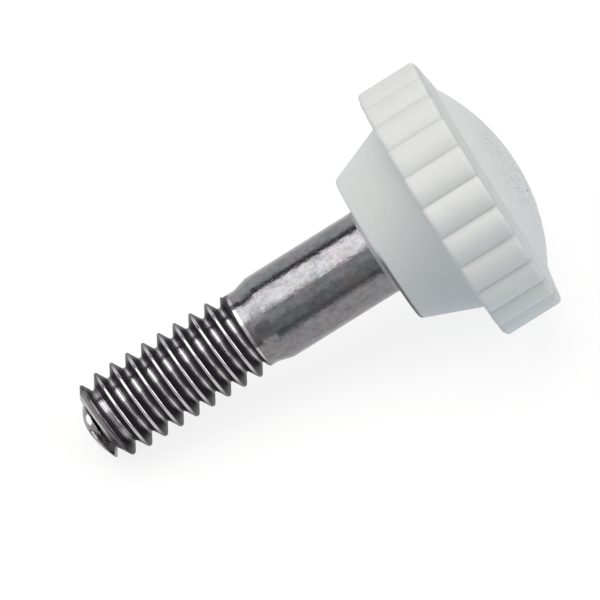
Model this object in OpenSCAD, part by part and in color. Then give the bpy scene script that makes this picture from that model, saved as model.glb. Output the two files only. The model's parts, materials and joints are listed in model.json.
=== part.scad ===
// Thumb screw: a white moulded knob on a steel shoulder stud.
// Each piece is drawn along its own axis, with the stud's tip at the origin and the knob at
// the top, and lay_down() then lays the screw on its thread and the rim of its knob.

/* [Thread] */
// Outside diameter over the crests
thread_d = 6.25; // [5.6:0.05:6.4]
// Pitch of the right-hand thread
thread_pitch = 1.27; // [0.8:0.01:1.4]
// Length from the end of the tip to the end of the full thread
thread_len = 12.3; // [8:0.1:20]
// How far from the tip the first crest crosses the underside
crest_start = 0.77; // [0.4:0.01:1.2]
// Radius of the ball that domes the tip
tip_dome_r = 2.5; // [2:0.1:4]
// Radius of the domed end of the tip
tip_r = 1.8; // [1.4:0.05:1.9]
// Radius of the ball that rounds off the start of the thread
start_dome_r = 5.2; // [4:0.1:8]
// Length over which the thread grows to its full diameter
lead_len = 3.2; // [1.5:0.1:5]
// How much the thread's radius falls short at the tip
lead_depth = 0.6; // [0.1:0.05:0.9]

/* [Shank] */
// Diameter of the plain neck behind the thread
neck_d = 5.7; // [5:0.05:6.1]
// Length from the end of the full thread to the cone
neck_len = 1.2; // [1.1:0.1:3]
// Length of the neck over which the last groove runs out
runout_len = 0.9; // [0.8:0.05:1]
// Length of the cone from the neck to the shank
shoulder_len = 1.1; // [0.5:0.1:2]
// Diameter of the plain shank
shank_d = 6.3; // [6.3:0.05:8]
// Length of the shank that shows below the knob
shank_len = 8.7; // [4:0.1:20]

/* [Anchor] */
// Depth of the seat in the underside of the hub
seat_depth = 0.4; // [0.2:0.1:0.8]
// Step out from the shank to its seat
seat_step = 0.25; // [0.2:0.05:0.5]
// Diameter of the stem that joins the shank to the hexagon head
stem_d = 5.6; // [4.5:0.1:6.2]
// Width across the flats of the hexagon head that the knob is moulded round
anchor_af = 9.5; // [8:0.1:11]
// Thickness of the hexagon head
anchor_t = 2.8; // [1.5:0.1:3.5]
// Height of the hexagon head above the underside of the hub
anchor_up = 4.6; // [4:0.1:5]

/* [Knob] */
// Diameter of the underside of the hub
hub_d = 11; // [9:0.1:13]
// Diameter of the hub where it meets the rim
hub_top_d = 14.4; // [13.5:0.1:16]
// Height of the hub
hub_h = 4.3; // [3:0.1:6]
// Radius of the edge round the underside of the hub
hub_edge_r = 0.3; // [0.1:0.05:0.6]
// Diameter over the lobes of the rim
rim_d = 19.25; // [18:0.05:24]
// Height of the rim at its outer edge
rim_h = 4.45; // [4:0.05:7]
// Radius of the edges at both ends of the rim
rim_edge_r = 0.3; // [0.1:0.05:0.5]
// Number of lobes round the rim
lobes = 24; // [12:1:36]
// Depth of the grooves between the lobes
groove_depth = 0.38; // [0.2:0.02:0.6]
// Rise of the land from the edge of the rim to the foot of the dome
land_rise = 0.4; // [0.1:0.05:0.8]
// Diameter of the foot of the dome
dome_d = 14.3; // [12:0.1:16]
// Radius of the ball that shapes the dome
dome_r = 13.9; // [10:0.1:20]

/* [Hidden] */
$fn = 96;

// Places along the axis, measured from the end of the tip.
neck_z = thread_len + runout_len;
shoulder_z = thread_len + neck_len;
shank_z = shoulder_z + shoulder_len;
knob_z = shank_z + shank_len;
anchor_z = knob_z + anchor_up;

// Heights inside the knob, measured from the underside of its hub.
rim_top = hub_h + rim_h;
dome_foot = rim_top + land_rise;
dome_centre = dome_foot - sqrt(pow(dome_r, 2) - pow(dome_d / 2, 2));

// Thread form: 60 degree flanks with flats of an eighth of the pitch on the crests and a
// sixth in the roots.
crest_flat = thread_pitch / 8;
root_flat = thread_pitch / 6;
flank = (thread_pitch - crest_flat - root_flat) / 2;
crest_r = thread_d / 2;
root_r = crest_r - flank / tan(30);
steps = 40;
tip_dome_h = tip_dome_r - sqrt(pow(tip_dome_r, 2) - pow(tip_r, 2));
neck_r = neck_d / 2;
over = 1.2 * crest_r;
core_r = tip_r / 4;

// How much the radius of a turn falls short where its crest stands z above the tip. The
// thread rises out of the dome in the first quarter of a turn, and then grows slowly.
function lead(z) =
    lead_depth * pow(max(1 - z / lead_len, 0), 2) + 6 * max(0.4 * thread_pitch - z, 0);

// Height of the ball that rounds off the start of the thread.
function start_z(r) = start_dome_r - sqrt(pow(start_dome_r, 2) - pow(r, 2));

// Lobe form: each lobe is an arc whose ends meet its neighbours' at the bottom of a groove.
rim_r = rim_d / 2;
groove_r = rim_r - groove_depth;
half_lobe = 180 / lobes;
half_chord = groove_r * sin(half_lobe);
lobe_rise = rim_r - groove_r * cos(half_lobe);
lobe_r = (pow(half_chord, 2) + pow(lobe_rise, 2)) / (2 * lobe_rise);
lobe_centre = rim_r - lobe_r;
wall_r = 1.003 * rim_r;
edge_x = wall_r - rim_edge_r;
edge_steps = 4;

// Resting place: two lobes stand on the floor at the lower edge of the rim, and the crest
// of the thread that reaches lowest stands on it near the tip.
edge_foot_r = lobe_centre * cos(half_lobe) + lobe_r;
edge_reach = norm([edge_foot_r, lobe_centre * sin(half_lobe)]) - edge_x;
edge_cut = rim_edge_r - sqrt(pow(rim_edge_r, 2) - pow(max(edge_reach, 0), 2));
edge_foot_z = knob_z + hub_h + edge_cut;
feet = [
    for (i = [0 : 3])
        let (
            mid = crest_start + i * thread_pitch,
            r = crest_r - lead(mid),
            z = max(mid - crest_flat / 2, start_z(r))
        )
        if (z < mid + crest_flat / 2)
            [r, z]
];
lie_angle = min([for (foot = feet) atan2(edge_foot_r - foot[0], edge_foot_z - foot[1])]);
lift = edge_foot_r * cos(lie_angle) - edge_foot_z * sin(lie_angle);
far_end = (knob_z + dome_centre) * cos(lie_angle) + dome_r;
near_end = tip_dome_r * (cos(lie_angle) - 1);

knob_color = [0.87, 0.88, 0.87];
steel_color = [0.55, 0.56, 0.58];

// Points along the flanks of one turn, as heights above the middle of its crest.
thread_form = [-flank - crest_flat / 2, -crest_flat / 2, crest_flat / 2, flank + crest_flat / 2];

// Radius of the root whose middle is at z. The last groove runs out to the neck.
function root_at(z) =
    let (share = (z - thread_len) / (0.25 * thread_pitch) - 1.2)
    root_r + (1.02 * neck_r - root_r) * min(max(share, 0), 1);

// Radius at point j of the thread form on the turn whose crest stands at the height mid.
function form_r(j, mid) =
    (j == 1 || j == 2 ? crest_r : root_at(mid + (j - 1.5) / 3 * thread_pitch)) - lead(mid);

// Lays a piece that stands on the tip down on the floor, centred over the origin.
module lay_down() {
    translate([-(far_end + near_end) / 2, 0, lift])
        rotate([0, 90 - lie_angle, 0])
            children();
}

// A threaded rod that runs past both ends of the thread, with each ring of points one step
// further round the helix.
module helical_rod() {
    form = len(thread_form);
    turns = ceil(thread_len / thread_pitch) + 3;
    last = turns * steps;
    low = crest_start - 2 * thread_pitch;
    rings = [
        for (i = [0 : last], j = [0 : form - 1])
            let (
                a = 360 * i / steps,
                mid = low + thread_pitch * i / steps,
                r = max(form_r(j, mid), core_r)
            )
            [r * cos(a), r * sin(a), mid + thread_form[j]]
    ];
    first_end = [0, 0, low - flank - crest_flat / 2];
    last_end = [0, 0, low + turns * thread_pitch + flank + crest_flat / 2];
    foot = len(rings);
    head = foot + 1;
    flanks = [
        for (i = [0 : last - 1], j = [0 : form - 2])
            let (p = i * form + j)
            [p, p + 1, p + form + 1, p + form]
    ];
    roots = [
        for (i = [0 : last - 1 - steps])
            let (p = i * form + form - 1, q = (i + steps) * form)
            [p, q, q + form, p + form]
    ];
    foot_fan = [
        for (i = [0 : steps - 1])
            [foot, i * form, (i + 1) * form]
    ];
    head_fan = [
        for (i = [last - steps : last - 1])
            let (p = i * form + form - 1)
            [head, p + form, p]
    ];
    foot_wall = [
        for (j = [0 : form - 2])
            [foot, j + 1, j]
    ];
    head_wall = [
        for (j = [0 : form - 2])
            [head, last * form + j, last * form + j + 1]
    ];
    foot_step = [[foot, steps * form, form - 1]];
    head_step = [[head, (last - steps) * form + form - 1, last * form]];
    polyhedron(
        concat(rings, [first_end, last_end]),
        concat(flanks, roots, foot_fan, head_fan, foot_wall, head_wall, foot_step, head_step)
    );
}

// What the rounded start and the neck leave of the threaded rod.
module thread_room() {
    foot_r = tip_r / 1.5;
    start_steps = 6;
    end = [
        [over, thread_len + crest_r - over],
        [neck_r, thread_len + crest_r - neck_r],
        [neck_r, neck_z],
        [0, neck_z]
    ];
    start = [
        for (i = [0 : start_steps])
            let (r = foot_r + (over - foot_r) * i / start_steps)
            [r, start_z(r)]
    ];
    rotate_extrude()
        polygon(concat([[0, start_z(foot_r)]], start, end));
}

module tip_dome() {
    intersection() {
        translate([0, 0, tip_dome_r])
            sphere(tip_dome_r);
        cylinder(h = tip_dome_h, r = tip_dome_r);
    }
}

// The part of the stud that the knob is moulded round: a seat flush with the underside of
// the hub, a stem and a hexagon head.
module anchor() {
    translate([0, 0, knob_z])
        cylinder(h = seat_depth, r = shank_d / 2 + seat_step);
    translate([0, 0, knob_z])
        cylinder(h = anchor_up, d = stem_d);
    translate([0, 0, anchor_z])
        cylinder(h = anchor_t, d = anchor_af / cos(30), $fn = 6);
}

module threaded_stud() {
    color(steel_color)
        lay_down() {
            tip_dome();
            intersection() {
                helical_rod();
                thread_room();
            }
            translate([0, 0, neck_z])
                cylinder(h = shoulder_z - neck_z, d = neck_d);
            translate([0, 0, shoulder_z])
                cylinder(h = shoulder_len, d1 = neck_d, d2 = shank_d);
            translate([0, 0, shank_z])
                cylinder(h = shank_len, d = shank_d);
            anchor();
        }
}

// Section of the hub: a cone with a rounded edge round its underside.
module hub_section() {
    slope = atan2((hub_top_d - hub_d) / 2, hub_h);
    edge_x = hub_d / 2 + hub_edge_r * tan(slope) - hub_edge_r / cos(slope);
    polygon([
        [0, 0],
        [edge_x, 0],
        [edge_x, hub_edge_r],
        [edge_x + hub_edge_r * cos(slope), hub_edge_r - hub_edge_r * sin(slope)],
        [hub_top_d / 2, hub_h],
        [0, hub_h]
    ]);
    translate([edge_x, hub_edge_r])
        circle(hub_edge_r);
}

// Section of the rim and the land above it, with edges rounded in small steps. Its outer
// wall stands clear of the lobes, so the lobes alone shape the grip.
module rim_section() {
    slope = atan2(land_rise, wall_r - dome_d / 2);
    low_z = hub_h + rim_edge_r;
    high_z = rim_top - rim_edge_r * (1 - sin(slope)) / cos(slope);
    low_edge = [
        for (i = [0 : edge_steps])
            let (a = -90 + 90 * i / edge_steps)
            [edge_x + rim_edge_r * cos(a), low_z + rim_edge_r * sin(a)]
    ];
    high_edge = [
        for (i = [0 : edge_steps])
            let (a = (90 - slope) * i / edge_steps)
            [edge_x + rim_edge_r * cos(a), high_z + rim_edge_r * sin(a)]
    ];
    polygon(concat(
        [[0, hub_h]],
        low_edge,
        high_edge,
        [[dome_d / 2, dome_foot], [0, dome_foot]]
    ));
}

// Outline of the rim seen along the axis: a ring of arcs that meet in sharp grooves.
module lobed_outline() {
    circle(groove_r * cos(half_lobe));
    for (i = [0 : lobes - 1])
        rotate((i + 0.5) * 360 / lobes)
            translate([lobe_centre, 0])
                circle(lobe_r);
}

module knob_body() {
    rotate_extrude()
        hub_section();
    intersection() {
        rotate_extrude()
            rim_section();
        linear_extrude(dome_foot)
            lobed_outline();
    }
    intersection() {
        translate([0, 0, dome_centre])
            sphere(dome_r);
        translate([0, 0, dome_foot])
            cylinder(h = dome_r, r = dome_r);
    }
}

module knob() {
    color(knob_color)
        lay_down()
            difference() {
                translate([0, 0, knob_z])
                    knob_body();
                anchor();
            }
}

knob();
threaded_stud();
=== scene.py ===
import json
import math

import bmesh
import bpy
from mathutils import Matrix, Vector


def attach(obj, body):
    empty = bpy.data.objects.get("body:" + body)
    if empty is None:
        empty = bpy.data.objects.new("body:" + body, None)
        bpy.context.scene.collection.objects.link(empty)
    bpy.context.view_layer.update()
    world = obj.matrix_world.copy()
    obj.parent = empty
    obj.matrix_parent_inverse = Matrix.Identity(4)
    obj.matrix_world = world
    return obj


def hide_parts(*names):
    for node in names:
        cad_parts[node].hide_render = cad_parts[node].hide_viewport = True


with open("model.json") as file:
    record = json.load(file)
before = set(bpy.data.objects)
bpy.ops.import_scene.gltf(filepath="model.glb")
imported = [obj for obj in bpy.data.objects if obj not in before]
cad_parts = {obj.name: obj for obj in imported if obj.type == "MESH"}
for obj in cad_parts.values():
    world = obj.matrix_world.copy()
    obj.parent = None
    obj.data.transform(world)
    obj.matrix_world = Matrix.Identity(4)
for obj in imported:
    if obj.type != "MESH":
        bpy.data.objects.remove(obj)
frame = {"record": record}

bl_info = {
    "name": "Thumb Screw",
    "version": (1, 0, 0),
    "blender": (4, 5, 0),
    "location": "3D View > Sidebar > Thumb Screw",
    "description": "Dresses a packed thumb screw: moulded knob, threaded stud, studio",
    "category": "Object",
}

MM = 0.001
# Steps round the knob and in one turn of the thread, and how far an edge bends to be sharp.
STEPS_ROUND = 384
STEPS_TURN = 96
SHARP_ANGLE = math.radians(32)
# In mm: radius of the edges inside the knob, and the radii between which the lobes fade in.
HIDDEN_EDGE = 0.05
FADE_START, FADE_END = 8.0, 9.0
# Casts of the thin film that plating leaves on steel.
WARM_FILM = (1.03, 0.98, 0.99)
COOL_FILM = (0.96, 1.0, 1.03)
# Dark cards round the axis: span in degrees upwards from the camera, span along the axis
# towards the dome, and shade.
CARDS = (
    ("upper_card", (74, 92), (-56, 56), 0.05),
    ("front_card", (-12, 20), (-20, 20), 0.8),
    ("low_card", (-38, -12), (-20, 20), 0.5),
    ("lowest_card", (-66, -38), (-20, 20), 0.28),
    ("cone_card", (-60, 0), (-46, -21), 0.4),
)
# How far the cards stand from the screw, in metres.
CARD_DISTANCE = 0.2
# How far the large lamp stands upwards from the camera, round the axis.
LAMP_TURN = math.radians(48)
# In mm: what the lamps and cards face and the middle of the picture, from the tip along the
# axis, and how far that middle lies below the axis in the picture.
LAMP_MIDDLE = 17
PICTURE_MIDDLE = 16.99
PICTURE_DROP = 0.096
# Strengths at which the camera and reflections see the floor's white and the world. The floor's
# is over 1, because the part of the floor that takes the shadow is darker than white.
FLOOR_SEEN = 1.1
WORLD_SEEN = 1.04
# Marks, from the tip, in mm: the speck on the dome and the near-white spot that paints the tip's
# highlight, with its height times 1.5. Turns round the axis: the middle of the shade painted on
# the hub's edge, and the side of the thread that lies lowest in the picture, where shade is
# painted.
SPECK = (-0.59, -2.84, 34.2)
HIGHLIGHT_PLACE = (-1.53, -0.3, 0.82)
EDGE_SHADE_TURN = math.radians(-98)
UNDER_TURN = math.radians(-56)


def length(name, note, size_mm):
    return bpy.props.FloatProperty(
        name=name, description=note, default=size_mm * MM, min=0, unit="LENGTH"
    )


def colour(name, note, shade):
    return bpy.props.FloatVectorProperty(
        name=name, description=note, default=shade, size=3, min=0, max=1, subtype="COLOR"
    )


def amount(name, note, value, top=1.0):
    return bpy.props.FloatProperty(
        name=name, description=note, default=value, min=0, max=top
    )


def angle(name, note, degrees):
    return bpy.props.FloatProperty(
        name=name, description=note, default=math.radians(degrees), subtype="ANGLE"
    )


def mount(name):
    return next(m for m in frame["record"]["mounts"] if m["name"] == name)


SHANK = mount("shank")
THREAD = mount("thread")


class StudSizes(bpy.types.PropertyGroup):
    """Sizes of the steel stud, from its tip to the knob"""

    thread_d: length("Thread diameter", "Over the crests", 2 * THREAD["dims"]["r_mm"])
    thread_len: length("Thread length", "From the tip to the neck", THREAD["dims"]["length_mm"])
    pitch: length("Pitch", "From one crest to the next", 1.27)
    crest_start: length("First crest", "Where the first crest crosses the underside", 0.77)
    tip_dome_r: length("Tip dome", "Radius of the ball that domes the tip", 2.5)
    tip_r: length("Tip radius", "Radius of the domed end of the tip", 1.8)
    start_dome_r: length("Start ball", "Radius of the ball that rounds off the first turn", 5.2)
    lead_len: length("Lead length", "Over which the thread grows to its full diameter", 3.2)
    lead_depth: length("Lead depth", "How far the thread's radius falls short at the tip", 0.6)
    neck_d: length("Neck diameter", "Plain neck behind the thread", 5.7)
    neck_len: length("Neck length", "From the full thread to the cone", 1.2)
    runout_len: length("Run-out", "Over which the last groove runs out", 0.9)
    shoulder_len: length("Cone length", "From the neck to the shank", 1.1)
    shank_d: length("Shank diameter", "Plain shank", 2 * SHANK["dims"]["r_mm"])
    shank_len: length("Shank length", "From the cone to the knob", SHANK["dims"]["length_mm"])
    seat_depth: length("Seat depth", "Depth of the seat in the underside of the hub", 0.4)
    seat_step: length("Seat step", "From the shank out to its seat", 0.25)
    stem_d: length("Stem diameter", "Hidden stem inside the knob", 5.6)
    anchor_af: length("Head width", "Hidden hexagon head, across flats", 9.5)
    anchor_t: length("Head thickness", "Hidden hexagon head", 2.8)
    anchor_up: length("Head height", "From the underside of the hub to the head", 4.6)
    edge_r: length("Edge radius", "Softness of the turned edges", 0.12)


class KnobSizes(bpy.types.PropertyGroup):
    """Sizes of the moulded knob, from the underside of its hub"""

    hub_d: length("Hub diameter", "At the underside", 11)
    hub_top_d: length("Hub top diameter", "Where the hub meets the rim", 14.4)
    hub_h: length("Hub height", "From the underside to the rim", 4.3)
    hub_edge_r: length("Hub edge radius", "Round the underside", 0.3)
    rim_d: length("Rim diameter", "Over the lobes", 19.25)
    rim_h: length("Rim height", "At the outer edge", 4.45)
    rim_edge_r: length("Rim edge radius", "At both ends of the lobes", 0.34)
    groove_depth: length("Groove depth", "Between the lobes", 0.38)
    land_rise: length("Land rise", "From the rim's edge to the dome", 0.4)
    dome_d: length("Dome foot diameter", "Where the dome meets the land", 14.3)
    dome_r: length("Dome radius", "Radius of the ball that shapes the dome", 13.93)
    lobes: bpy.props.IntProperty(
        name="Lobes", description="Number of lobes round the rim", default=24, min=8, max=48
    )


class Finishes(bpy.types.PropertyGroup):
    """Colours and finishes of the two pieces"""

    plastic: colour("Plastic", "Off-white moulding", (0.74, 0.75, 0.735))
    # Dust on the scuffs and specks; the same colour also paints shade on the land and in the
    # grooves.
    dust_and_shade: colour("Grime", "Dust held in the grooves and scuffs", (0.46, 0.46, 0.45))
    # It paints shade as a dark line on the lower side of the hub's edge, and colours the speck on
    # the dome.
    edge_shade_and_speck: colour("Edge dirt", "Dark line on the hub's edge and the speck", (0.09, 0.09, 0.1))
    steel: colour("Steel", "Bright plated steel", (0.215, 0.212, 0.216))
    rolled: colour("Rolled steel", "Crests and roots of the thread", (0.5, 0.485, 0.49))
    # A near-white steel that paints the highlight on the tip.
    highlight_steel: colour("Burnished steel", "Worn spot on the tip", (0.95, 0.94, 0.95))
    # A dark coat that paints shade on the thread's flanks and on its lowest and highest sides.
    thread_shade: colour("Flank dirt", "Oil and dirt on the thread's flanks", (0.014, 0.012, 0.017))
    plastic_roughness: amount("Plastic roughness", "Satin of the moulding", 0.42)
    steel_roughness: amount("Steel roughness", "Turned and plated surface", 0.14)


class StudioSizes(bpy.types.PropertyGroup):
    """Camera and lamps"""

    lens: bpy.props.FloatProperty(
        name="Lens", description="Focal length in millimetres", default=600, min=50, max=1000
    )
    frame_width: length("Picture width", "What the picture spans at the screw", 40.8)
    axis_turn: angle("Axis in picture", "Slope of the screw's axis in the picture", 32.0)
    dome_turn: angle("Turn to camera", "How far the dome end turns to the camera", 3.2)
    camera_roll: angle("Turn round the axis", "From straight below to the camera", 145.7)
    softbox: amount("Softbox", "Radiance of the large lamp", 2.1, 20)
    side_lamp: amount("Side lamp", "Radiance of the lamp beyond the dome", 2.2, 20)
    fill: amount("Fill", "Light from all round", 0.26, 5)
    floor_white: amount("Floor white", "How far the floor is lifted to white", 0.75)


class Profile:
    """An outline of a turned piece: (radius, height) points in millimetres."""

    def __init__(self, *points):
        self.points = list(points)

    def line(self, *points):
        self.points.extend(points)
        return self

    def corner(self, r, z, after, radius, pieces=5):
        """Adds a rounded corner at (r, z) on the way from the last point to the point after."""
        before = Vector(self.points[-1])
        here, ahead = Vector((r, z)), Vector(after)
        way_in, way_out = (before - here).normalized(), (ahead - here).normalized()
        half = way_in.angle(way_out) / 2
        middle = here + (way_in + way_out).normalized() * (radius / math.sin(half))
        start = here + way_in * (radius / math.tan(half))
        end = here + way_out * (radius / math.tan(half))
        a = math.atan2(start.y - middle.y, start.x - middle.x)
        turn = math.atan2(end.y - middle.y, end.x - middle.x) - a
        turn = (turn + math.pi) % (2 * math.pi) - math.pi
        for i in range(pieces + 1):
            t = a + turn * i / pieces
            self.points.append(
                (middle.x + radius * math.cos(t), middle.y + radius * math.sin(t))
            )
        return self

    def arc(self, r, z, radius, start, end, pieces):
        """Adds an arc about (r, z), with its angles in degrees from the outward radius."""
        for i in range(pieces + 1):
            t = math.radians(start + (end - start) * i / pieces)
            self.points.append((r + radius * math.cos(t), z + radius * math.sin(t)))
        return self


def polar(v):
    return math.hypot(v.co.x, v.co.y), math.atan2(v.co.y, v.co.x)


def place_ring(v, r, z=None):
    """Moves a vertex to the radius r, and to the height z, on its own side of the axis."""
    turn = math.atan2(v.co.y, v.co.x)
    v.co = (r * math.cos(turn), r * math.sin(turn), v.co.z if z is None else z)


def hexagon(turn, across):
    """Radius of a hexagon, across its flats, at an angle from one of its corners."""
    side = math.pi / 3
    return across / 2 / math.cos((turn % side) - side / 2)


def hub_height(stud):
    """Height of the hub's underside above the tip, from the sizes of the stud."""
    return stud["thread_len"] + stud["neck_len"] + stud["shoulder_len"] + stud["shank_len"]


def pose(x, y, z, place):
    """Matrix that turns the axes to x, y and z and moves the origin to a place."""
    return Matrix.Translation(place) @ Matrix((x, y, z)).transposed().to_4x4()


def lay_down():
    """Matrix from a piece's own axis, with the tip at the origin, to the floor."""
    along = -Vector(SHANK["axis"]).normalized()
    across = Vector((0, 1, 0))
    down = across.cross(along)
    sizes = bpy.context.scene.stud_sizes
    middle = sizes.thread_len + sizes.neck_len + sizes.shoulder_len + sizes.shank_len / 2
    return pose(down, across, along, Vector(SHANK["pos_m"]) - along * middle)


def spin(bm, outline, turns, steps, weld, rise=0.0):
    """Turns an outline round the axis, rising by so much a step, and welds what then meets."""
    verts = [bm.verts.new((q, 0, z)) for q, z in outline]
    edges = [bm.edges.new(pair) for pair in zip(verts, verts[1:])]
    bmesh.ops.spin(
        bm,
        geom=verts + edges,
        axis=(0, 0, 1),
        cent=(0, 0, 0),
        dvec=(0, 0, rise),
        angle=2 * math.pi * turns,
        steps=steps * turns,
        use_merge=rise == 0,
    )
    bmesh.ops.remove_doubles(bm, verts=bm.verts, dist=weld)


def rim_edges(bm, z):
    """The open edges at a height."""
    return [
        e
        for e in bm.edges
        if e.is_boundary and all(abs(v.co.z - z) < 1e-4 for v in e.verts)
    ]


def carry_on(bm, edges, points):
    """Extrudes a ring of edges to each (radius, height). A radius may depend on the turn."""
    for q, z in points:
        new = bmesh.ops.extrude_edge_only(bm, edges=edges)["geom"]
        edges = [g for g in new if isinstance(g, bmesh.types.BMEdge)]
        for v in (g for g in new if isinstance(g, bmesh.types.BMVert)):
            radius = q(polar(v)[1]) if callable(q) else q
            place_ring(v, radius, z)
    return edges


def add_object(bm, name, material):
    """Makes an object of a mesh, in the scene and with its material."""
    mesh = bpy.data.meshes.new(name)
    bm.to_mesh(mesh)
    bm.free()
    mesh.materials.append(material)
    piece = bpy.data.objects.new(name, mesh)
    bpy.context.scene.collection.objects.link(piece)
    return piece


def finish_piece(bm, name, node, material):
    """Turns a mesh in millimetres on its own axis into a piece that stands for a node."""
    bmesh.ops.recalc_face_normals(bm, faces=bm.faces)
    for f in bm.faces:
        f.smooth = True
    for e in bm.edges:
        if e.is_manifold and e.calc_face_angle() > SHARP_ANGLE:
            e.smooth = False
    bmesh.ops.transform(bm, matrix=lay_down() @ Matrix.Scale(MM, 4), verts=bm.verts)
    piece = add_object(bm, name, material)
    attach(piece, "root")
    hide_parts(node)


def in_mm(group):
    """The lengths of a property group, in millimetres."""
    return {
        key: getattr(group, key) / MM
        for key, p in group.bl_rna.properties.items()
        if p.type == "FLOAT" and p.unit == "LENGTH"
    }


class Wire:
    """A socket in a material. Sums on it add Math nodes, and node() adds any other."""

    def __init__(self, tree, socket):
        self.tree = tree
        self.socket = socket

    def node(self, kind, settings=None, sockets=None, out=0):
        return add_node(self.tree, kind, settings, sockets, out)

    def maths(self, operation, *values):
        return self.node(
            "ShaderNodeMath", {"operation": operation}, dict(enumerate(values))
        )

    def __add__(self, other):
        return self.maths("ADD", self, other)

    __radd__ = __add__

    def __sub__(self, other):
        return self.maths("SUBTRACT", self, other)

    def __rsub__(self, other):
        return self.maths("SUBTRACT", other, self)

    def __mul__(self, other):
        return self.maths("MULTIPLY", self, other)

    __rmul__ = __mul__

    def clamp(self):
        return self.node("ShaderNodeClamp", None, {"Value": self})

    def step(self, low, high):
        """0 below low, 1 above high, and a smooth rise between them."""
        settings = {"interpolation_type": "SMOOTHSTEP"}
        return self.node(
            "ShaderNodeMapRange",
            settings,
            {"Value": self, "From Min": low, "From Max": high},
        )

    def part(self, axis):
        return self.node("ShaderNodeSeparateXYZ", None, {0: self}, axis)

    def stretch(self, x, y, z):
        return self.node(
            "ShaderNodeVectorMath", {"operation": "MULTIPLY"}, {0: self, 1: (x, y, z)}
        )

    def facing(self, turn):
        """The cosine of the angle round the axis between this place and a direction."""
        flat = self.stretch(1, 1, 0)
        unit = self.node("ShaderNodeVectorMath", {"operation": "NORMALIZE"}, {0: flat})
        way = (math.cos(turn), math.sin(turn), 0)
        sockets = {0: unit, 1: way}
        return self.node("ShaderNodeVectorMath", {"operation": "DOT_PRODUCT"}, sockets, "Value")

    def distance_to(self, place):
        sockets = {0: self, 1: place}
        return self.node("ShaderNodeVectorMath", {"operation": "DISTANCE"}, sockets, "Value")

    def noise(self, scale, detail=3.0, roughness=0.55):
        return self.node(
            "ShaderNodeTexNoise",
            None,
            {"Vector": self, "Scale": scale, "Detail": detail, "Roughness": roughness},
        )

    def mix(self, low, high):
        """Blends two colours by this value."""
        settings = {"data_type": "RGBA", "clamp_factor": True}
        return self.node(
            "ShaderNodeMix", settings, {0: self, 6: rgba(low), 7: rgba(high)}, 2
        )

    def bump(self, distance, strength=1.0, normal=None):
        sockets = {"Height": self, "Distance": distance, "Strength": strength}
        if normal is not None:
            sockets["Normal"] = normal
        return self.node("ShaderNodeBump", None, sockets)


def tint(shade, factor, cast=(1.0, 1.0, 1.0)):
    """A colour made lighter or darker, with a cast of its own."""
    return tuple(c * factor * k for c, k in zip(shade, cast))


def rgba(shade):
    if isinstance(shade, Wire) or len(shade) == 4:
        return shade
    return (*shade, 1.0)


def add_node(tree, kind, settings=None, sockets=None, out=0):
    """Adds a node, with its settings first and then its sockets, and gives one output."""
    node = tree.nodes.new(kind)
    for key, value in (settings or {}).items():
        setattr(node, key, value)
    for key, value in (sockets or {}).items():
        socket = node.inputs[key]
        if isinstance(value, Wire):
            tree.links.new(value.socket, socket)
        else:
            socket.default_value = value
    return Wire(tree, node.outputs[out])


def empty_material(name):
    """A material and its node tree, without a node in it."""
    material = bpy.data.materials.new(name)
    material.use_nodes = True
    material.node_tree.nodes.clear()
    return material, material.node_tree


def new_material(name):
    """An empty material and its node tree, with the screw's own coordinates in mm."""
    material, tree = empty_material(name)
    place = lay_down()
    spot = add_node(tree, "ShaderNodeTexCoord", out="Object")
    on_axis = add_node(
        tree,
        "ShaderNodeMapping",
        {"vector_type": "TEXTURE"},
        {
            "Vector": spot,
            "Location": place.translation,
            "Rotation": place.to_euler(),
            "Scale": (MM, MM, MM),
        },
    )
    return material, tree, on_axis


def output(tree, shader):
    end = tree.nodes.new("ShaderNodeOutputMaterial")
    tree.links.new(shader.socket, end.inputs["Surface"])


def radius_of(on_axis):
    flat = on_axis.stretch(1, 1, 0)
    return on_axis.node("ShaderNodeVectorMath", {"operation": "LENGTH"}, {0: flat}, "Value")


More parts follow.
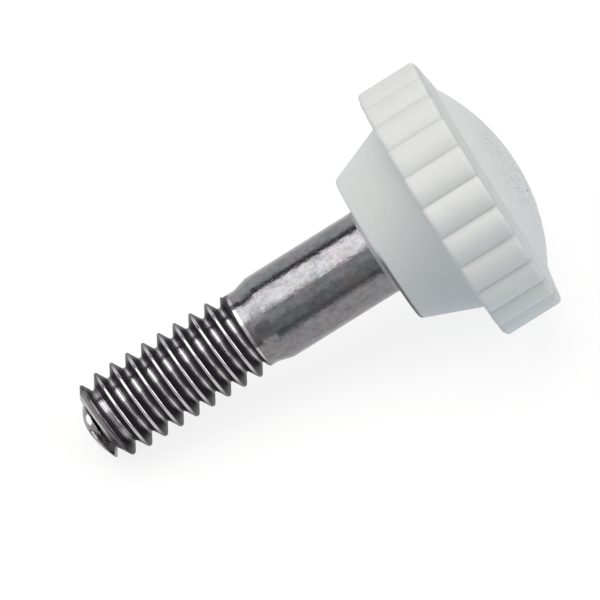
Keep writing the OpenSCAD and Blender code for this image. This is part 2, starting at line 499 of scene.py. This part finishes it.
def moulded_plastic():
    """Off-white moulding: a fine orange peel, dust and painted shade in the grooves, painted
    shade on the land and on the hub's lower edge, and scuffs on the dome.
    """
    looks = bpy.context.scene.finishes
    size = in_mm(bpy.context.scene.knob_sizes)
    hub_r, foot_r = size["hub_d"] / 2, size["dome_d"] / 2
    hub_top, rim_top = size["hub_h"], size["hub_h"] + size["rim_h"]
    groove_r = size["rim_d"] / 2 - size["groove_depth"]
    material, tree, p = new_material("moulded_plastic")
    r = radius_of(p)
    z = p.part("Z") - hub_height(in_mm(bpy.context.scene.stud_sizes))
    on_rim = z.step(hub_top + 0.1, hub_top + 0.5)
    in_groove = (1 - r.step(groove_r - 0.02, groove_r + 0.16)) * r.step(
        groove_r - 0.6, groove_r - 0.3
    )
    cloud = p.noise(0.35, 4.0, 0.6)
    patch = p.noise(1.3, 3.0, 0.6)
    dome_top = z.step(rim_top + 0.6, rim_top + 2.0)
    scratch = p.stretch(1.0, 0.25, 1.0).noise(9.0, 4.0, 0.7).step(0.6, 0.72)
    scuff = (scratch * patch.step(0.45, 0.7) * (0.25 + 0.75 * dome_top)).clamp()
    shade = (cloud.step(0.3, 0.7) * 0.35).mix(looks.plastic, tint(looks.plastic, 0.93))
    # The land is painted darker with it, as painted shade.
    on_land = z.step(rim_top - 0.1, rim_top + 0.05) * r.step(foot_r - 0.1, foot_r + 0.1)
    shade = (on_land * 0.3).mix(shade, looks.dust_and_shade)
    # Dust and painted shade in the grooves between the lobes.
    shade = (in_groove * on_rim * (0.15 + 0.3 * patch)).mix(shade, looks.dust_and_shade)
    specks = p.noise(5.0, 2.0, 0.6).step(0.56, 0.64) * dome_top
    shade = (scuff * 0.4 + specks * 0.75).clamp().mix(shade, looks.dust_and_shade)
    # Painted shade: a dark line on the hub's edge, on its lower side only.
    hub_edge = (1 - z.step(0.1, 0.3)) * r.step(hub_r - 0.45, hub_r - 0.25)
    lower = p.facing(EDGE_SHADE_TURN).step(0.62, 0.85)
    speck = 1 - p.distance_to(SPECK).step(0.09, 0.16)
    shade = (hub_edge * lower * (0.6 + 0.5 * patch)).mix(shade, looks.edge_shade_and_speck)
    shade = (speck * 0.9).mix(shade, looks.edge_shade_and_speck)
    peel = p.noise(3.2, 2.0, 0.5) * 0.7 + p.noise(14.0, 3.0, 0.6) * 0.3
    normal = peel.bump(0.024 * MM)
    normal = (1 - (scuff + specks).clamp()).bump(0.03 * MM, 0.7, normal)
    rough = looks.plastic_roughness + 0.16 * (patch - 0.5) + 0.2 * scuff
    shader = p.node(
        "ShaderNodeBsdfPrincipled",
        None,
        {
            "Base Color": shade,
            "Roughness": rough.clamp(),
            "Normal": normal,
            "IOR": 1.47,
            "Specular IOR Level": 0.12,
            "Subsurface Weight": 0.08,
            "Subsurface Radius": (1.0, 0.9, 0.8),
            "Subsurface Scale": 0.6 * MM,
        },
    )
    output(tree, shader)
    return material


def plated_steel():
    """Bright plated steel: turning marks, stains under a thin film, painted light by the knob, a
    painted highlight on the tip, and painted shade as a dark coat on the thread.
    """
    looks = bpy.context.scene.finishes
    size = in_mm(bpy.context.scene.stud_sizes)
    thread_end, hub_z, crest_r = size["thread_len"], hub_height(size), size["thread_d"] / 2
    # The thread is 0.61 pitches deep.
    root_r = crest_r - size["pitch"] * 0.61
    material, tree, p = new_material("plated_steel")
    r = radius_of(p)
    z = p.part("Z")
    threaded = (1 - z.step(thread_end + 0.7, thread_end + 0.76)) * z.step(0.6, 1.1)
    joint = z.step(hub_z - 0.36, hub_z - 0.28)
    flank = r.step(root_r + 0.04, root_r + 0.16) * (1 - r.step(crest_r - 0.08, crest_r - 0.02))
    flank = flank * (1 - z.step(thread_end + 0.46, thread_end + 0.56))
    turned = p.stretch(0.5, 0.5, 9.0).noise(1.0, 3.0, 0.6)
    mottle = p.noise(3.2, 2.0, 0.6)
    blotch = p.stretch(1.6, 1.6, 0.9).noise(1.0, 4.0, 0.65)
    grain = p.stretch(7.0, 7.0, 3.0).noise(1.0, 3.0, 0.7)
    stain = blotch.step(0.42, 0.68) * 0.6 + mottle.step(0.38, 0.68) * 0.4
    film = p.noise(0.6, 2.0, 0.5).step(0.36, 0.64)
    clean = film.mix(tint(looks.steel, 1.1, WARM_FILM), tint(looks.steel, 1.1, COOL_FILM))
    dull = film.mix(tint(looks.steel, 0.66, WARM_FILM), tint(looks.steel, 0.66, COOL_FILM))
    shade = stain.clamp().mix(clean, dull)
    # Painted light: the ring by the knob is painted lighter, at twice the steel, against the
    # shade under the hub.
    shade = joint.mix(shade, tint(looks.steel, 2.0))
    shade = threaded.mix(shade, looks.rolled)
    # A painted highlight: a near-white spot on the tip, where its highlight lies.
    highlight_spot = 1 - p.stretch(1.0, 1.0, 1.5).distance_to(HIGHLIGHT_PLACE).step(0.28, 0.5)
    shade = highlight_spot.mix(shade, looks.highlight_steel)
    # Painted shade: a dark coat on the thread's flanks and on the sides of the thread that lie
    # lowest and highest in the picture.
    below = p.facing(UNDER_TURN).step(0.68, 0.98) * 0.85
    above = p.facing(UNDER_TURN + math.pi).step(0.78, 0.98) * 0.85
    thread_shade_mask = threaded * (0.7 + 0.3 * z.step(1.0, 2.2))
    thread_shade_mask = ((flank * (0.75 + 0.5 * grain) + below + above) * thread_shade_mask).clamp()
    rough = looks.steel_roughness + 0.16 * (blotch - 0.4) + 0.06 * (grain - 0.5)
    rough = (rough + joint * 0.5).clamp()
    normal = (turned * 0.7 + mottle).bump(0.01 * MM, 0.8)
    normal = (blotch * 0.65 + grain * 0.35).bump(0.03 * MM, 0.8, normal)
    shader = p.node(
        "ShaderNodeBsdfPrincipled",
        None,
        {"Base Color": shade, "Metallic": 1.0, "Roughness": rough, "Normal": normal},
    )
    shade_coat = p.node(
        "ShaderNodeBsdfPrincipled",
        None,
        {
            "Base Color": rgba(looks.thread_shade),
            "Roughness": 0.4,
            "Specular IOR Level": 0.2,
            "Normal": normal,
        },
    )
    output(tree, p.node("ShaderNodeMixShader", None, {0: thread_shade_mask, 1: shader, 2: shade_coat}))
    return material


class SCREW_OT_knob(bpy.types.Operator):
    """Models the moulded knob, with its lobed rim and dome"""

    bl_idname = "screw.knob"
    bl_label = "Moulded knob"

    def execute(self, context):
        size = in_mm(context.scene.knob_sizes)
        stud = in_mm(context.scene.stud_sizes)
        lobes = context.scene.knob_sizes.lobes
        rim_r, hub_r, edge_r = size["rim_d"] / 2, size["hub_d"] / 2, size["rim_edge_r"]
        hub_top, rim_top = size["hub_h"], size["hub_h"] + size["rim_h"]
        dome_foot = rim_top + size["land_rise"]
        hub_top_r, foot_r, ball = size["hub_top_d"] / 2, size["dome_d"] / 2, size["dome_r"]
        ball_z = dome_foot - math.sqrt(ball**2 - foot_r**2)
        half_dome = math.degrees(math.asin(foot_r / ball))
        seat_r, seat = stud["shank_d"] / 2 + stud["seat_step"], stud["seat_depth"]
        stem_r, head_z = stud["stem_d"] / 2, stud["anchor_up"]
        head_r, head_top = stud["anchor_af"] / 2, stud["anchor_up"] + stud["anchor_t"]

        out = Profile((0, head_top), (head_r * 0.5, head_top))
        out.corner(head_r, head_top, (head_r, head_z), HIDDEN_EDGE, 1)
        out.corner(head_r, head_z, (stem_r, head_z), HIDDEN_EDGE, 1)
        out.corner(stem_r, head_z, (stem_r, seat), HIDDEN_EDGE, 1)
        out.corner(stem_r, seat, (seat_r, seat), HIDDEN_EDGE, 1)
        out.corner(seat_r, seat, (seat_r, 0), HIDDEN_EDGE, 1)
        out.corner(seat_r, 0, (hub_r, 0), HIDDEN_EDGE, 2)
        out.line((hub_r * 0.75, 0))
        out.corner(hub_r, 0, (hub_top_r, hub_top), size["hub_edge_r"], 6)
        out.corner(hub_top_r, hub_top, (rim_r, hub_top), 0.15, 3)
        # Rings for the lobes to fade over, here and on the land.
        out.line((8.2, hub_top), (8.7, hub_top))
        out.corner(rim_r, hub_top, (rim_r, rim_top), edge_r, 7)
        out.line(*((rim_r, hub_top + size["rim_h"] * i / 8) for i in range(1, 8)))
        out.corner(rim_r, rim_top, (foot_r, dome_foot), edge_r, 7)
        slope = (dome_foot - rim_top) / (rim_r - foot_r)
        out.line(*((q, rim_top + (rim_r - q) * slope) for q in (8.8, 8.4, FADE_START)))
        out.arc(0, ball_z, ball, 90 - half_dome, 90, 30)

        bm = bmesh.new()
        spin(bm, out.points, 1, STEPS_ROUND, 1e-5)

        # Each lobe is an arc through the bottoms of the grooves on both sides of it.
        half = math.pi / lobes
        groove_r = rim_r - size["groove_depth"]
        rise = rim_r - groove_r * math.cos(half)
        lobe_r = ((groove_r * math.sin(half)) ** 2 + rise**2) / (2 * rise)
        lobe_mid = rim_r - lobe_r
        for v in bm.verts:
            q, turn = polar(v)
            if hub_top - 0.01 < v.co.z < dome_foot and q > FADE_START:
                a = turn % (2 * half) - half
                lobe = lobe_mid * math.cos(a) + math.sqrt(
                    lobe_r**2 - (lobe_mid * math.sin(a)) ** 2
                )
                outward = min(max((q - FADE_START) / (FADE_END - FADE_START), 0), 1)
                share = outward * outward * (3 - 2 * outward)
                place_ring(v, q * (1 + share * (lobe / rim_r - 1)))
            elif head_z - 0.01 < v.co.z < head_top + 0.01 and stem_r + 0.1 < q < head_r + 0.1:
                place_ring(v, q * hexagon(turn, 2))
        bmesh.ops.translate(bm, verts=bm.verts, vec=(0, 0, hub_height(stud)))
        finish_piece(bm, "knob_moulding", "knob", moulded_plastic())
        return {"FINISHED"}


class SCREW_OT_stud(bpy.types.Operator):
    """Models the steel stud: tip, rolled thread, neck, cone, shank and hidden head"""

    bl_idname = "screw.stud"
    bl_label = "Threaded stud"

    def execute(self, context):
        size = in_mm(context.scene.stud_sizes)
        pitch, crest_r, neck_r = size["pitch"], size["thread_d"] / 2, size["neck_d"] / 2
        # The root's arc spans a quarter of the pitch, and the crest's three sixteenths.
        tan30 = math.tan(math.radians(30))
        root_arc, crest_arc = pitch / 12 / tan30, pitch / 16 / tan30
        root_r = crest_r - (pitch * 17 / 48) / tan30
        ball, tip_r, start_ball = size["tip_dome_r"], size["tip_r"], size["start_dome_r"]
        dome_h = ball - math.sqrt(ball**2 - tip_r**2)
        # Below this height the tip is its dome alone.
        foot_z = start_ball - math.sqrt(start_ball**2 - (tip_r / 1.5) ** 2)
        thread_end, neck_z = size["thread_len"], size["thread_len"] + size["runout_len"]

        def rounded(middle_z, middle_r, radius, out, start, end):
            turns = [math.radians(start + (end - start) * i / 8) for i in range(9)]
            return [
                (middle_r + out * radius * (1 - math.cos(t)), middle_z + radius * math.sin(t))
                for t in turns
            ]

        def flank(a, b):
            return [
                (a[0] + (b[0] - a[0]) * i / 7, a[1] + (b[1] - a[1]) * i / 7)
                for i in range(1, 7)
            ]

        rising = rounded(0, root_r, root_arc, 1, 0, 60)
        crest = rounded(pitch / 2, crest_r, crest_arc, -1, -60, 60)
        falling = rounded(pitch, root_r, root_arc, 1, -60, 0)
        form = rising + flank(rising[-1], crest[0]) + crest
        form += flank(crest[-1], falling[0]) + falling

        bm = bmesh.new()
        low = size["crest_start"] - 2.5 * pitch
        turns = math.ceil(neck_z / pitch) + 3
        form = [(q, z + low) for q, z in form]
        spin(bm, form, turns, STEPS_TURN, 1e-4, pitch / STEPS_TURN)

        def short(z):
            """How far a turn falls short of the full thread where its crest is at z: slowly
            less over the lead, and steeply less over the very start."""
            slow = size["lead_depth"] * max(1 - z / size["lead_len"], 0) ** 2
            return slow + 6 * max(0.4 * pitch - z, 0)

        def shaped(v):
            """Radius of the thread at a vertex, with its rounded start and its run-out."""
            q, turn = polar(v)
            z = v.co.z
            phase = (z - size["crest_start"]) / pitch - turn / (2 * math.pi)
            near = size["crest_start"] + pitch * (round(phase) + turn / (2 * math.pi))
            aside = phase - round(phase)
            beyond = near + math.copysign(pitch, aside)
            # In the sixth of a pitch round a root's middle, the two turns beside it blend.
            share = max(abs(aside) * 12 - 5, 0) / 2
            q -= short(near) * (1 - share) + short(beyond) * share
            inside = min(max(z - 0.02, 0), start_ball)
            q = min(q, math.sqrt(start_ball**2 - (start_ball - inside) ** 2))
            dome = math.sqrt(max(ball**2 - (ball - z) ** 2, 0))
            if z < foot_z:
                return dome
            if z < thread_end:
                return max(q, dome) if z < dome_h else q
            # The last groove rises to the neck over a quarter of the pitch.
            rise = min(max((z - thread_end) / (0.25 * pitch) - 1.2, 0), 1)
            q = max(q, root_r + (neck_r - root_r) * (1 - (1 - rise) ** 2))
            return min(q, max(crest_r - (z - thread_end), neck_r))

        for v in bm.verts:
            if v.co.z > 0:
                place_ring(v, shaped(v))
        tip_z = 0.08
        for z, side in ((tip_z, -1), (neck_z, 1)):
            bmesh.ops.bisect_plane(
                bm,
                geom=bm.verts[:] + bm.edges[:] + bm.faces[:],
                plane_co=(0, 0, z),
                plane_no=(0, 0, side),
                clear_outer=True,
            )

        half_tip = math.degrees(math.acos(1 - tip_z / ball))
        tip = Profile().arc(0, ball, ball, -90 + half_tip * 0.8, -90 + half_tip * 0.05, 5)
        last = carry_on(bm, rim_edges(bm, tip_z), tip.points)
        bmesh.ops.holes_fill(bm, edges=last)

        shank_r, soft = size["shank_d"] / 2, size["edge_r"]
        cone_z = thread_end + size["neck_len"]
        shank_z = cone_z + size["shoulder_len"]
        knob_z = shank_z + size["shank_len"]
        stem_r, head_z = size["stem_d"] / 2, knob_z + size["anchor_up"]
        head_top, head_af = head_z + size["anchor_t"], size["anchor_af"]
        body = Profile((neck_r, neck_z), (neck_r, neck_z + 0.05))
        body.corner(neck_r, cone_z, (shank_r, shank_z), soft * 3, 4)
        body.corner(shank_r, shank_z, (shank_r, knob_z), soft * 3, 4)
        body.line(*((shank_r, shank_z + size["shank_len"] * i / 6) for i in range(1, 7)))
        seat_r, seat_z = shank_r + size["seat_step"], knob_z + size["seat_depth"]
        body.line((seat_r, knob_z))
        body.corner(seat_r, seat_z, (stem_r, seat_z), 0.04, 2)
        body.line((stem_r, seat_z), (stem_r, head_z))
        last = carry_on(bm, rim_edges(bm, neck_z), body.points[1:])

        def head_r(turn):
            return hexagon(turn, head_af)

        last = carry_on(bm, last, [(head_r, head_z), (head_r, head_top)])
        bmesh.ops.holes_fill(bm, edges=last)
        finish_piece(bm, "steel_stud", "threaded_stud", plated_steel())
        return {"FINISHED"}


def stage_piece(bm, name, material):
    piece = add_object(bm, name, material)
    return piece


class View:
    """The camera's right, up and backward directions, the axis in the picture and its side."""

    def __init__(self, studio):
        down, across, along = lay_down().to_3x3().col
        roll, turn = studio.camera_roll, studio.axis_turn
        outward = down * math.cos(roll) - across * math.sin(roll)
        self.back = along * math.sin(studio.dome_turn) + outward * math.cos(studio.dome_turn)
        self.level = (along - self.back * along.dot(self.back)).normalized()
        self.side = self.back.cross(self.level)
        self.right = self.level * math.cos(turn) - self.side * math.sin(turn)
        self.up = self.level * math.sin(turn) + self.side * math.cos(turn)


def softbox(name, towards, turn_axis, distance, size, radiance, target):
    """A rectangular lamp in a direction, with its long side along turn_axis."""
    wide, long_side = size
    lamp = bpy.data.lights.new(name, "AREA")
    lamp.shape = "RECTANGLE"
    lamp.size, lamp.size_y = long_side, wide
    lamp.energy = radiance * math.pi * wide * long_side
    lamp.color = (1, 0.985, 0.97)
    spot = bpy.data.objects.new(name, lamp)
    z = towards.normalized()
    x = (turn_axis - z * turn_axis.dot(z)).normalized()
    spot.matrix_world = pose(x, z.cross(x), z, target + z * distance)
    bpy.context.scene.collection.objects.link(spot)


class SCREW_OT_stage(bpy.types.Operator):
    """Sets the pale floor, the lamps and the camera"""

    bl_idname = "screw.stage"
    bl_label = "Studio"

    def execute(self, context):
        studio = context.scene.studio_sizes
        view = View(studio)
        place = lay_down()
        self.camera(context, studio, place, view)
        self.floor(studio)
        self.world(context, studio)
        middle = place @ Vector((0, 0, LAMP_MIDDLE * MM))
        high = view.back * math.cos(LAMP_TURN) + view.side * math.sin(LAMP_TURN)
        high += view.level * 0.04
        softbox("softbox", high, view.level, 0.25, (0.24, 0.38), studio.softbox, middle)
        beyond = view.level * 0.7 + view.back * 0.6 - view.side * 0.2
        softbox("side_lamp", beyond, view.side, 0.3, (0.2, 0.2), studio.side_lamp, middle)
        for card in CARDS:
            self.dark_card(view, middle, *card)
        return {"FINISHED"}

    def camera(self, context, studio, place, view):
        data = bpy.data.cameras.new("camera")
        data.lens = studio.lens
        data.sensor_width = 36.0
        distance = studio.frame_width * data.lens / data.sensor_width
        centre = place @ Vector((0, 0, PICTURE_MIDDLE * MM)) - view.side * PICTURE_DROP * MM
        camera = bpy.data.objects.new("camera", data)
        camera.matrix_world = pose(view.right, view.up, view.back, centre + view.back * distance)
        data.clip_start, data.clip_end = 0.01, 10
        context.scene.collection.objects.link(camera)
        context.scene.camera = camera

    def floor(self, studio):
        material, tree = empty_material("pale_floor")
        spot = add_node(tree, "ShaderNodeTexCoord", out="Object")
        far = add_node(tree, "ShaderNodeVectorMath", {"operation": "LENGTH"}, {0: spot}, "Value")
        white = add_node(tree, "ShaderNodeEmission", None, {"Strength": FLOOR_SEEN})
        seen = self.seen(tree)
        shade = seen.mix((0.72, 0.8, 0.88), (0.84, 0.83, 0.82))
        diffuse = add_node(tree, "ShaderNodeBsdfDiffuse", None, {"Color": shade})
        lift = seen * (studio.floor_white + (1 - studio.floor_white) * far.step(0.06, 0.3))
        mixed = add_node(tree, "ShaderNodeMixShader", None, {0: lift, 1: diffuse, 2: white})
        output(tree, mixed)
        bm = bmesh.new()
        bmesh.ops.create_circle(bm, cap_ends=True, segments=128, radius=1.0)
        stage_piece(bm, "floor", material)

    def seen(self, tree):
        """1 for what the camera sees, straight on or in a reflection, and 0 for soft light."""
        rays = [
            add_node(tree, "ShaderNodeLightPath", out=name)
            for name in ("Is Camera Ray", "Is Glossy Ray", "Is Transmission Ray")
        ]
        return (rays[0] + rays[1] + rays[2]).clamp()

    def world(self, context, studio):
        world = bpy.data.worlds.new("studio")
        world.use_nodes = True
        tree = world.node_tree
        tree.nodes.clear()
        seen = self.seen(tree)
        strength = seen * (WORLD_SEEN - studio.fill) + studio.fill
        shade = add_node(
            tree,
            "ShaderNodeBackground",
            None,
            {"Color": (0.98, 1, 1.02, 1), "Strength": strength},
        )
        end = tree.nodes.new("ShaderNodeOutputWorld")
        tree.links.new(shade.socket, end.inputs["Surface"])
        context.scene.world = world

    def dark_card(self, view, middle, name, round_span, along_span, shade):
        """A dark card that only reflections see, over two spans of angles from the camera."""
        material, tree = empty_material(name)
        dark = (shade, shade, shade, 1)
        output(tree, add_node(tree, "ShaderNodeEmission", None, {"Color": dark}))
        bm = bmesh.new()
        bmesh.ops.create_grid(bm, x_segments=1, y_segments=1, size=0.5)
        low, high = (math.radians(a) for a in round_span)
        lean = (low + high) / 2
        z = view.back * math.cos(lean) + view.side * math.sin(lean)
        y = z.cross(view.level)
        wide = 2 * CARD_DISTANCE * math.tan((high - low) / 2)
        start, end = (CARD_DISTANCE * math.tan(math.radians(a)) for a in along_span)
        centre = middle + z * CARD_DISTANCE + view.level * (start + end) / 2
        turn = pose(view.level * (end - start), y * wide, z, centre)
        bmesh.ops.transform(bm, matrix=turn, verts=bm.verts)
        card = stage_piece(bm, name, material)
        card.visible_camera = False
        card.visible_diffuse = False
        card.visible_shadow = False
        card.visible_transmission = False


class SCREW_PT_panel(bpy.types.Panel):
    """Lists the screw's pieces, sizes and finishes"""

    bl_idname = "SCREW_PT_panel"
    bl_label = "Thumb Screw"
    bl_space_type = "VIEW_3D"
    bl_region_type = "UI"
    bl_category = "Thumb Screw"

    def draw(self, context):
        for operator in OPERATORS:
            self.layout.operator(operator.bl_idname)
        for name in GROUPS:
            group = getattr(context.scene, name)
            box = self.layout.box()
            for key in group.bl_rna.properties.keys():
                if key not in {"rna_type", "name"}:
                    box.prop(group, key)


OPERATORS = (SCREW_OT_stage, SCREW_OT_knob, SCREW_OT_stud)
GROUPS = {
    "stud_sizes": StudSizes,
    "knob_sizes": KnobSizes,
    "finishes": Finishes,
    "studio_sizes": StudioSizes,
}


def register():
    for kind in (*GROUPS.values(), *OPERATORS, SCREW_PT_panel):
        bpy.utils.register_class(kind)
    for name, kind in GROUPS.items():
        setattr(bpy.types.Scene, name, bpy.props.PointerProperty(type=kind))


def unregister():
    for name in GROUPS:
        delattr(bpy.types.Scene, name)
    for kind in (SCREW_PT_panel, *reversed(OPERATORS), *reversed(GROUPS.values())):
        bpy.utils.unregister_class(kind)


def main():
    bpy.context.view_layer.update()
    register()
    bpy.ops.screw.stage()
    bpy.ops.screw.knob()
    bpy.ops.screw.stud()
    bpy.context.scene.view_settings.view_transform = "Standard"


if __name__ == "__main__":
    main()
